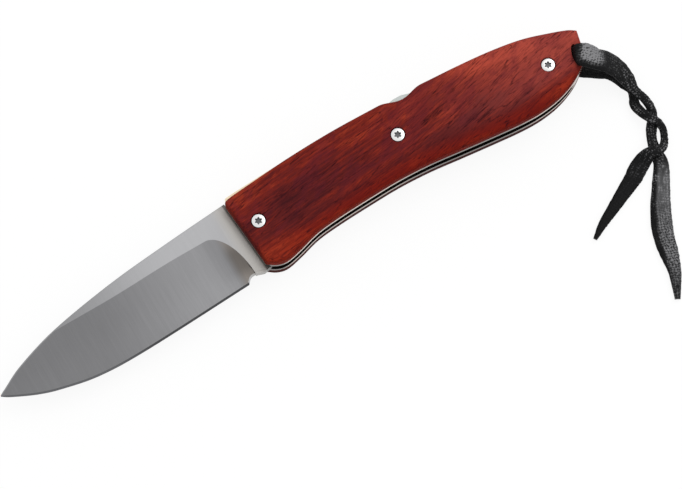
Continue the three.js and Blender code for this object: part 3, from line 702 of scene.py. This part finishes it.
# %% One material, or the room's light, built up node by node
class Finish:
    """The nodes of a material or of the world"""

    def __init__(self, owner):
        owner.use_nodes = True
        self.owner = owner
        self.tree = owner.node_tree
        self.tree.nodes.clear()

    def node(self, kind, settings=None, sockets=None, out=0):
        """A node with its settings and with values or links on its sockets; gives one output"""
        made = self.tree.nodes.new(kind)
        for name, value in (settings or {}).items():
            if name == "stops":
                set_stops(made.color_ramp.elements, value)
            else:
                setattr(made, name, value)
        for name, value in (sockets or {}).items():
            if isinstance(value, Wire):
                self.tree.links.new(value.socket, made.inputs[name])
            else:
                made.inputs[name].default_value = value
        return Wire(self, made.outputs[out]) if made.outputs else None

    def surface(self, **sockets):
        """The shader with these values and links, led to the output"""
        named = {name.replace("_", " "): value for name, value in sockets.items()}
        return self.output(self.node("ShaderNodeBsdfPrincipled", None, named))

    def output(self, shader, kind="ShaderNodeOutputMaterial"):
        self.node(kind, None, {"Surface": shader})
        return self.owner

    def place(self, size, turn=0, start=None):
        """Coordinates in a pattern's own size: millimetres along, across and through it"""
        start = start or self.node("ShaderNodeTexCoord", out="Object")
        return self.node("ShaderNodeMapping", {"vector_type": "TEXTURE"}, {
            "Vector": start, "Rotation": (0, 0, turn), "Scale": [side * MM for side in size],
        })

    def cloud(self, size, turn=0, detail=3, roughness=0.5, distortion=0, start=None):
        """Soft noise from 0 to 1, stretched to a size in millimetres"""
        return self.node("ShaderNodeTexNoise", None, {
            "Vector": self.place(size, turn, start), "Scale": 1, "Detail": detail,
            "Roughness": roughness, "Distortion": distortion,
        })

    def step(self, value, low, high, start=0, end=1):
        """Smooth change from start to end as a value goes from low to high"""
        return self.node("ShaderNodeMapRange", {"interpolation_type": "SMOOTHSTEP"}, {
            "Value": value, "From Min": low, "From Max": high, "To Min": start, "To Max": end,
        })

    def ramp(self, value, stops):
        return self.node("ShaderNodeValToRGB", {"stops": stops}, {"Fac": value})

    def mix(self, factor, first, second, way="MIX"):
        settings = {"data_type": "RGBA", "blend_type": way}
        return self.node("ShaderNodeMix", settings, {0: factor, 6: first, 7: second}, 2)

    def grey(self, level):
        sockets = {"Red": level, "Green": level, "Blue": level}
        return self.node("ShaderNodeCombineColor", None, sockets)

    def split(self, vector):
        """The three values of a vector"""
        parts = self.node("ShaderNodeSeparateXYZ", None, {0: vector})
        return [Wire(self, socket) for socket in parts.socket.node.outputs]

    def axes(self):
        """How far a place is from the pivot along each axis, in millimetres"""
        places = self.split(self.node("ShaderNodeTexCoord", out="Object"))
        starts = (pivot.x, pivot.y, 0)
        return [place * IN_MM - start * IN_MM for place, start in zip(places, starts)]

    def facing(self):
        """The three parts of the direction that a face looks in"""
        return self.split(self.node("ShaderNodeTexCoord", out="Normal"))

    def sine(self, value):
        return self.node("ShaderNodeMath", {"operation": "SINE"}, {0: value})

    def size_of(self, value):
        """A value without its sign"""
        return self.node("ShaderNodeMath", {"operation": "ABSOLUTE"}, {0: value})

    def bump(self, height, depth, strength=1.0):
        """A normal from a height between 0 and 1, that deep in millimetres"""
        return self.node("ShaderNodeBump", None, {
            "Height": height, "Distance": depth * MM, "Strength": strength,
        })


def colour(red, green, blue):
    """The linear colour of one that is read off a screen, 0 to 255"""
    linear = []
    for part in (red, green, blue):
        part /= 255
        linear.append(part / 12.92 if part <= 0.04045 else ((part + 0.055) / 1.055) ** 2.4)
    return (*linear, 1)


def dress(piece, *finishes):
    """Takes off what a piece wears and puts these finishes on it"""
    piece.data.materials.clear()
    for finish in finishes:
        piece.data.materials.append(finish)


print(f"half way on a screen is {colour(128, 128, 128)[0]:.2f} of the light")

# %% [markdown]
# The scales are an oily red-brown hardwood, sawn along the grain. Light and dark bands run the
# length of the handle, broken up by blotches, streaks and fibres. Over them lies what a plane opens
# or leaves dark: short pores, long veins, and fine lines where growth rings are cut at a slant.
# All of it is noise stretched along the grain; a wave texture gives bands that are too even. Slow
# changes, such as the pale belly line, are soft steps along and across the handle. Some of these steps
# are painted light in the colour: a highlight along the spine and near its front, and a sheen over the
# rear and the butt.

# %% Wood: bands, blotches, streaks and fibres
wood = Finish(bpy.data.materials.new("red_wood"))
GRAIN = math.radians(4)
x, y, z = wood.axes()
bands = wood.cloud((44, 3.6, 3.6), GRAIN, 3, 0.6, 0.4)
blotches = wood.cloud((7, 2.6, 2.6), GRAIN + 0.12, 5, 0.7, 0.5)
streaks = wood.cloud((14, 0.6, 0.6), GRAIN, 4, 0.65, 0.3)
fibres = wood.cloud((4, 0.25, 0.25), GRAIN, 2, 0.6)
fine = ((streaks - 0.5) * 0.32 + (fibres - 0.5) * 0.2) * (1 - 0.4 * wood.step(x, 40, 60))
figure = (bands - 0.5) * 0.42 + (blotches - 0.5) * 0.42 + fine
print(f"the grain runs {math.degrees(GRAIN):.0f} degrees off the handle's line")

# %% Wood: where the handle is lighter
belly_line = 1.5 * wood.sine(x / 12.73 - 0.942) - 7.4
from_belly = y - belly_line
belly_glow = wood.step(from_belly, 4.6, 0.8)
# Painted light: lighter towards the spine from 8 mm on, a sheen over the upper rear, and a highlight
# along the spine's edge between 54 and 66 mm
painted_spine_light = (
    wood.step(y, -1, 12, 0, 0.13) * wood.step(x, 8, 34)
    + wood.step(x, 52, 86, 0, 0.21) * wood.step(y, -8, 2)
    + wood.step(x, 54, 66, 0, 0.28) * wood.step(y + 0.16 * x, 17, 20.5)
)
# Near the front the middle is darker and both edges lighter, and the front end is lighter; the last
# term is a painted highlight near the spine
front_glow = (
    wood.step(x, 34, 4) * wood.step(wood.size_of(y - 2), 2, 9, -0.1, 0.09)
    + wood.step(x, 8, -5, 0, 0.1)
    + wood.step(x, 14, 4, 0, 0.05) * wood.step(y, 5, 9)
)
# Painted sheen over the rear, towards the belly
painted_rear_sheen = wood.step(x, 66, 80, 0, 0.07) * wood.step(from_belly, 9, 3)
heart_glow = wood.step(wood.size_of(x - 50), 10, 3, 0, 0.07) * wood.step(wood.size_of(y - 1), 5, 1)
low_glow = wood.step(wood.size_of(x - 34), 12, 6, 0, 0.06) * wood.step(wood.size_of(y + 2.5), 3.5, 1)
glow = painted_spine_light + front_glow + painted_rear_sheen + heart_glow + low_glow + belly_glow * 0.08
print("the belly's pale line swings 1.5 mm up and down, once in 80 mm")

# %% Wood: its colours
heartwood = wood.ramp(0.5 + figure + glow, [
    (0.26, colour(54, 20, 26)), (0.38, colour(82, 28, 32)), (0.50, colour(110, 36, 34)),
    (0.60, colour(140, 43, 32)), (0.74, colour(182, 66, 42)), (0.92, colour(212, 82, 56)),
])
# Painted sheen: towards the butt and away from the belly the colour turns a milky pale red, as if it
# mirrored the room
painted_butt_sheen = wood.step(x, 34, 92, 0.04, 0.58) * wood.step(from_belly, 2, 7)
rosy = wood.mix(painted_butt_sheen, heartwood, colour(176, 84, 78))
clouds = wood.cloud((11, 5, 5), GRAIN + 0.5, 3, 0.6, 0.4)
purple = wood.step(clouds, 0.46, 0.6) * wood.step(from_belly, 3, 7)
dusky = wood.mix(purple * 0.34, rosy, colour(104, 36, 50))
warm = wood.mix(belly_glow * 0.55, dusky, colour(132, 26, 16))
print("heartwood, rosy at the butt, purple in clouds, warm along the belly")

# %% Wood: pores, veins and growth lines
pores = wood.cloud((2.2, 0.34, 0.34), GRAIN + 0.16, 2, 0.6, 0.4)
open_pores = wood.step(pores, 0.54, 0.62) * wood.step(blotches, 0.4, 0.55, 0.5, 1)
front_veins = wood.cloud((24, 0.4, 0.4), GRAIN, 2, 0.5, 0.2)
rear_veins = wood.cloud((18, 0.42, 0.42), GRAIN + 0.22, 2, 0.5, 0.3)
veins = (
    wood.step(front_veins, 0.55, 0.62) * wood.step(x, 44, 30)
    + wood.step(rear_veins, 0.55, 0.62) * wood.step(x, 30, 44)
)
growth = wood.cloud((36, 3.6, 3.6), GRAIN + 0.14, 2, 0.5, 0.4)
growth_lines = wood.step(wood.sine(growth * 44), 0.84, 1) * wood.step(blotches, 0.42, 0.55, 0.15, 1)
darkness = open_pores * 0.36 + veins * 0.26 + growth_lines * 0.48
lined = wood.mix(darkness, warm, colour(44, 15, 24))
print("pores of 2 mm, veins of 20 mm and growth lines")

# %% Wood: its ends, painted shade low on the belly side, and its surface
FRONT_SLANT = 0.07
end_grain = wood.step(x + FRONT_SLANT * y, -6.5, -7.3)
edged = wood.mix(end_grain * 0.45, lined, colour(34, 12, 13))
# Painted shade: where the bottom scale faces the belly, low by the table, the wood is darkened nearly
# to black, as if in the knife's own shadow
looks_down = wood.step(wood.facing()[1], -0.25, -0.6)
under = wood.step(z, 4.4, 3.2) * looks_down
wood_colour = wood.mix(under * 0.78, edged, colour(34, 26, 28))
red_wood = wood.surface(
    Base_Color=wood_colour, Roughness=0.55 + 0.14 * streaks, IOR=1.1,
    Normal=wood.bump(fibres * 0.3 - open_pores, 0.03, 0.5),
)
dress(top_wood, red_wood)
dress(bottom_wood, red_wood)
print("wood on both scales")

# %% [markdown]
# Nearly all the metal here is steel, and its colour is what it mirrors, so each kind differs by how
# it was finished: the blade's flats are satin, its ground faces show the belt's fine lines across
# the blade, and the edge bevel is honed. Stretched noise in the roughness, the colour and a shallow
# bump gives those lines. Anisotropic shading could too, but it is lost when a finish is baked.

# %% Brushed metal
def steel(name, tint, lines, roughness, contrast, depth, shade=None, rear=None):
    """Metal brushed with lines of that length, width and height in millimetres, which show with
    that contrast and are cut that deep. The rear of a piece can have a second tint, given with the
    places along the knife where it begins and is complete"""
    finish = Finish(bpy.data.materials.new(name))
    base = colour(*tint)
    if rear:
        rear_tint, begins, complete = rear
        takes_over = finish.step(finish.axes()[0], begins, complete)
        base = finish.mix(takes_over, base, colour(*rear_tint))
    fine = finish.cloud(lines, 0, 3, 0.6)
    broad = finish.cloud([side * 6 for side in lines], 0, 2, 0.5)
    level = 1 - contrast + (fine * 1.2 + broad * 0.8) * contrast
    if shade:
        level = level * shade(finish)
    return finish.surface(
        Base_Color=finish.mix(1.0, finish.grey(level), base, "MULTIPLY"),
        Metallic=1.0, Roughness=roughness + 0.1 * fine - 0.05,
        Normal=finish.bump(fine, depth),
    )


EVEN = (0.5, 0.5, 0.5)
turned = steel("polished_steel", (226, 226, 226), EVEN, 0.24, 0.05, 0.001)
# Painted shade: the darker grey that lines the screws' sockets stands for the shade in the recess
pressed = steel("socket_painted_shade", (98, 98, 100), EVEN, 0.4, 0.1, 0.001)
spring = steel("spring_steel", (150, 152, 156), (12, 0.2, 0.2), 0.35, 0.12, 0.003)
bronze = steel("bronze", (190, 140, 84), (1.2, 1.2, 1.2), 0.35, 0.1, 0.003)
bar = steel(
    "bar_steel", (226, 208, 180), (0.25, 10, 10), 0.3, 0.1, 0.003, rear=((176, 180, 178), 22, 38),
)
print("turned, pressed, spring and bar steel, and bronze")

# %% The blade's three finishes
ACROSS = (0.2, 8, 8)


def ground_shade(finish):
    """The ground face is a little darker at its curved shoulder and towards the tip"""
    x, y = finish.axes()[:2]
    under_line = finish.step(y, 2, -8, 0.94, 1.01)
    shoulder = (
        finish.step(x, -20, -16, 0, 0.14)
        + finish.step(x, -16, -12.4, 0, 0.36) * finish.step(y, 5, -1)
    ) * finish.step(y, -8, -4, 0.55, 1)
    return under_line * (1 - shoulder) * finish.step(x, -20, -55, 0.93, 0.64)


def flat_shade(finish):
    """The flat face lies in the handle's shade at one end and darkens towards the tip"""
    x, y = finish.axes()[:2]
    from_front = x + FRONT_SLANT * y
    shade = finish.step(from_front, -9.6, -7.8, 1, 0.84) * finish.step(from_front, -7.9, -7.4, 1, 0.36)
    return shade * finish.step(x, -26, -60, 1, 0.66)


def bevel_shade(finish):
    """The honed edge shows dark in its straight part and pale towards the tip"""
    return finish.step(finish.axes()[0], -38, -56, 1, 1.9)


blade_finishes = {
    "flat": steel(
        "blade_flat", (173, 173, 175), ACROSS, 0.34, 0.08, 0.002, flat_shade,
        ((174, 171, 167), -13, -9),
    ),
    "ground": steel(
        "blade_ground", (151, 151, 153), ACROSS, 0.36, 0.17, 0.004, ground_shade,
        ((155, 148, 142), -15, -12),
    ),
    "bevel": steel("blade_bevel", (74, 74, 76), (0.15, 3, 3), 0.25, 0.1, 0.002, bevel_shade),
}
dress(blade, *(blade_finishes[band] for band in BAND_FINISHES))
dress(tang_piece, blade_finishes["flat"])
worn = [BAND_FINISHES.index(band) for band in blade_bands]
blade.data.polygons.foreach_set("material_index", worn)
print({band: blade_bands.count(band) for band in BAND_FINISHES}, "faces")

# %% Turned heads, with painted shade in their sockets
ROUND_SOCKET = 0.03
BELOW_FACE = 0.1


def dress_screw(piece):
    """The socket's wall and floor wear a darker grey, painted shade for the recess; all the rest is
    turned
    """
    dress(piece, turned, pressed)
    centre = sum((Vector(corner) for corner in piece.bound_box), Vector()) / 8
    heights = [corner[2] for corner in piece.bound_box]
    face = max(heights) if centre.z > MIDDLE * MM else min(heights)
    for polygon in piece.data.polygons:
        within = (polygon.center - centre).xy.length < (RECESS_RADIUS + ROUND_SOCKET) * MM
        depth = abs(polygon.center.z - face) / MM
        polygon.material_index = int(within and BELOW_FACE < depth < RECESS_DEPTH + BELOW_FACE)


for piece in screws:
    dress_screw(piece)
print(f"{len(screws)} screws are turned outside and pressed inside")

# %% [markdown]
# The liners, the spacer, the bar, its spring, the washers, the pins and the pivot keep the meshes of
# the imported model: they are plain stamped or turned pieces, so drawing them again would show nothing
# new. Only their finish is put on. Liners and spacer are sawn to the handle's outline. Their finish
# carries painted shade and light: flat faces, seen only inside the handle, are painted nearly black,
# and the belly's edges are painted bright where they face the butt and dull where they face the blade.

# %% Finishes on the imported pieces that stay
def painted_liner_shade(finish):
    """Painted shade and light: flat faces, seen only inside the handle, are nearly black, and the
    belly's edges are bright only where they face the butt, the lower liner's a little less
    """
    x, y, z = finish.facing()
    lower = finish.step(finish.axes()[2], 6.6, 6)
    lit = (
        finish.step(x, -0.13, 0.05, 0.25, 0.85) * finish.step(x, 0.1, 0.4, 1, 1.35)
        * (1 - 0.3 * lower)
    )
    belly = finish.step(y, 0.2, -0.2)
    return finish.step(finish.size_of(z), 0.4, 0.6, 1, 0.06) * (1 - belly * (1 - lit))


ALONG = (20, 0.2, 0.2)
liner = steel("liner_steel", (222, 206, 194), ALONG, 0.3, 0.12, 0.003, painted_liner_shade)
back = steel("back_steel", (190, 186, 180), ALONG, 0.3, 0.12, 0.003, painted_liner_shade)
worn_by = {
    liner: ("top_liner", "bottom_liner"),
    back: ("back_spacer",),
    bar: ("lock_bar",),
    spring: ("lock_spring",),
    bronze: ("washer_top", "washer_bottom"),
    turned: (
        "pivot_barrel", "pivot_screw_top", "pivot_screw_bottom", "rear_barrel", "lock_bar_pin",
        "spacer_pin_front", "spacer_pin_rear",
    ),
}
for finish, names in worn_by.items():
    for name in names:
        for slot in nodes[name].material_slots:
            slot.material = finish
print(f"{sum(map(len, worn_by.values()))} packed pieces dressed")

# %% [markdown]
# The thong is thin black leather. Its face is nearly black, with small diamond-shaped grains. Where a
# fold or a tail would catch the softbox, painted highlights turn it pale grey, and painted glints
# speckle its wrinkles. Cells from a Voronoi texture would be pebbles without a direction. Here two
# sets of waves cross each other at a slant along the strap, bent by noise, so the diamonds follow it
# round every fold; noise adds the creases.

# %% Leather: grain, creases and wear
leather = Finish(bpy.data.materials.new("black_leather"))
strap_place = leather.node("ShaderNodeAttribute", {"attribute_name": "strap"}, out="Vector")
along, across = leather.split(strap_place)[:2]
scaled = leather.node(
    "ShaderNodeVectorMath", {"operation": "SCALE"}, {0: strap_place, "Scale": MM},
)
warp = leather.cloud((1.1, 1.1, 1.1), 0, 2, 0.5, 0, scaled) * 2.2
drift = leather.cloud((0.9, 0.9, 0.9), 0.7, 2, 0.5, 0, scaled) * 2.4
diamonds = leather.sine((along + across + warp) * 4.6) * leather.sine((along - across + drift) * 4)
creases = leather.cloud((0.7, 2.4, 1), 0.25, 3, 0.6, 0.6, scaled)
wear = leather.cloud((2.6, 1, 4), 0.12, 3, 0.6, 0.5, scaled)
print(f"diamonds {2 * math.pi / 4.6:.1f} mm apart")

# %% Leather: its painted highlights, and its surface
from_slot = leather.size_of(along)
between = leather.step(from_slot, 12, 18) * leather.step(from_slot, 62, 54)
# Painted highlights: the loop's top by the slot and one side of the top half's tail are pale grey in
# the colour, as if they mirrored the softbox; a wear noise breaks them up
loop_shine = leather.step(along, 5.6, 7.6) * leather.step(along, 14, 9.5) * leather.step(across, 3, 0)
tail_shine = (
    leather.step(along, 44, 52) * leather.step(across, 1.7, 0.7)
    * leather.step(along, 84, 71, 0.3, 0.72)
)
shine = (1.8 * loop_shine + tail_shine) * leather.step(wear, 0.3, 0.6, 0.8, 1)
grained = leather.step(along, 30, 22) + leather.step(along, 54, 68)
# Painted glints on the grain where the wear noise is high, strongest in the twisted middle
painted_ridge_glints = (
    leather.step(wear, 0.42, 0.6) * leather.step(diamonds, -0.3, 0.8) * (0.16 + 0.4 * between)
    * leather.step(along, -60, -42, 0.3, 1)
)
painted_paleness = leather.step(shine * (0.7 + 0.6 * diamonds * grained) + painted_ridge_glints, 0, 1.1)
black_leather = leather.surface(
    Base_Color=leather.mix(painted_paleness, colour(13, 13, 14), colour(150, 150, 152)),
    Roughness=0.6 - 0.15 * wear, Specular_IOR_Level=0.12,
    Normal=leather.bump(diamonds * 0.25 + creases * (0.5 + between), 0.2, 0.8),
)
dress(top_strap, black_leather)
dress(bottom_strap, black_leather)
print("leather on both halves of the thong")

# %% [markdown]
# The knife lies on a plain white floor in soft light. The floor is seen as white because it glows
# for camera and mirror rays, and not because more light falls on the knife; a small share of plain
# diffuse white stays in it and keeps the soft shadow. A white floor under strong lamps would be
# white too, but it would wash out the wood.

# %% Floor
FLOOR_HALF = 3
WHITE = (1, 1, 1, 1)
floor_finish = Finish(bpy.data.materials.new("white_floor"))
camera_ray, mirror_ray, glass_ray = (
    floor_finish.node("ShaderNodeLightPath", out=name)
    for name in ("Is Camera Ray", "Is Glossy Ray", "Is Transmission Ray")
)
shining = floor_finish.node("ShaderNodeEmission", None, {"Color": WHITE, "Strength": 1.1})
diffuse_white = floor_finish.grey(0.35 + 0.51 * camera_ray)
matt = floor_finish.node("ShaderNodeBsdfDiffuse", None, {"Color": diffuse_white})
seen = 0.8 * (camera_ray + mirror_ray + glass_ray)
white_floor = floor_finish.output(
    floor_finish.node("ShaderNodeMixShader", None, {0: seen, 1: matt, 2: shining}),
)
mesh = bpy.data.meshes.new("floor")
corners = [(x * FLOOR_HALF, y * FLOOR_HALF, 0) for x, y in ((-1, -1), (1, -1), (1, 1), (-1, 1))]
mesh.from_pydata(corners, [], [(0, 1, 2, 3)])
mesh.materials.append(white_floor)
floor = put("floor", mesh)
print(f"a floor of {2 * FLOOR_HALF} m")

# %% [markdown]
# Such a photograph is lit by a large soft lamp in a bright room. The room is even white, at full
# strength where it is seen or mirrored and weaker where it only lights the knife. One square
# softbox, up to the right in the picture, gives the light its direction. Several lamps would draw
# several shadows, which the photograph doesn't have.

# %% Light
room = Finish(bpy.data.worlds.new("studio"))
looked_at, mirrored = (
    room.node("ShaderNodeLightPath", out=name) for name in ("Is Camera Ray", "Is Glossy Ray")
)
either = room.node("ShaderNodeMath", {"operation": "MAXIMUM"}, {0: looked_at, 1: mirrored})
sky = room.node("ShaderNodeBackground", None, {"Color": WHITE, "Strength": 0.6 + 0.4 * either})
bpy.context.scene.world = room.output(sky, "ShaderNodeOutputWorld")


def softbox(name, direction, distance, size, power):
    lamp = bpy.data.lights.new(name, "AREA")
    lamp.shape = "SQUARE"
    lamp.size = size
    lamp.energy = power
    box = put(name, lamp)
    box.location = target + direction.normalized() * distance
    box.rotation_euler = (-direction).to_track_quat("-Z", "Y").to_euler()


softbox("softbox", right * 0.6 + up * 0.5 + Vector((0, 0, 1)), distance=0.8, size=0.6, power=1.3)
print("one softbox and an even white room")
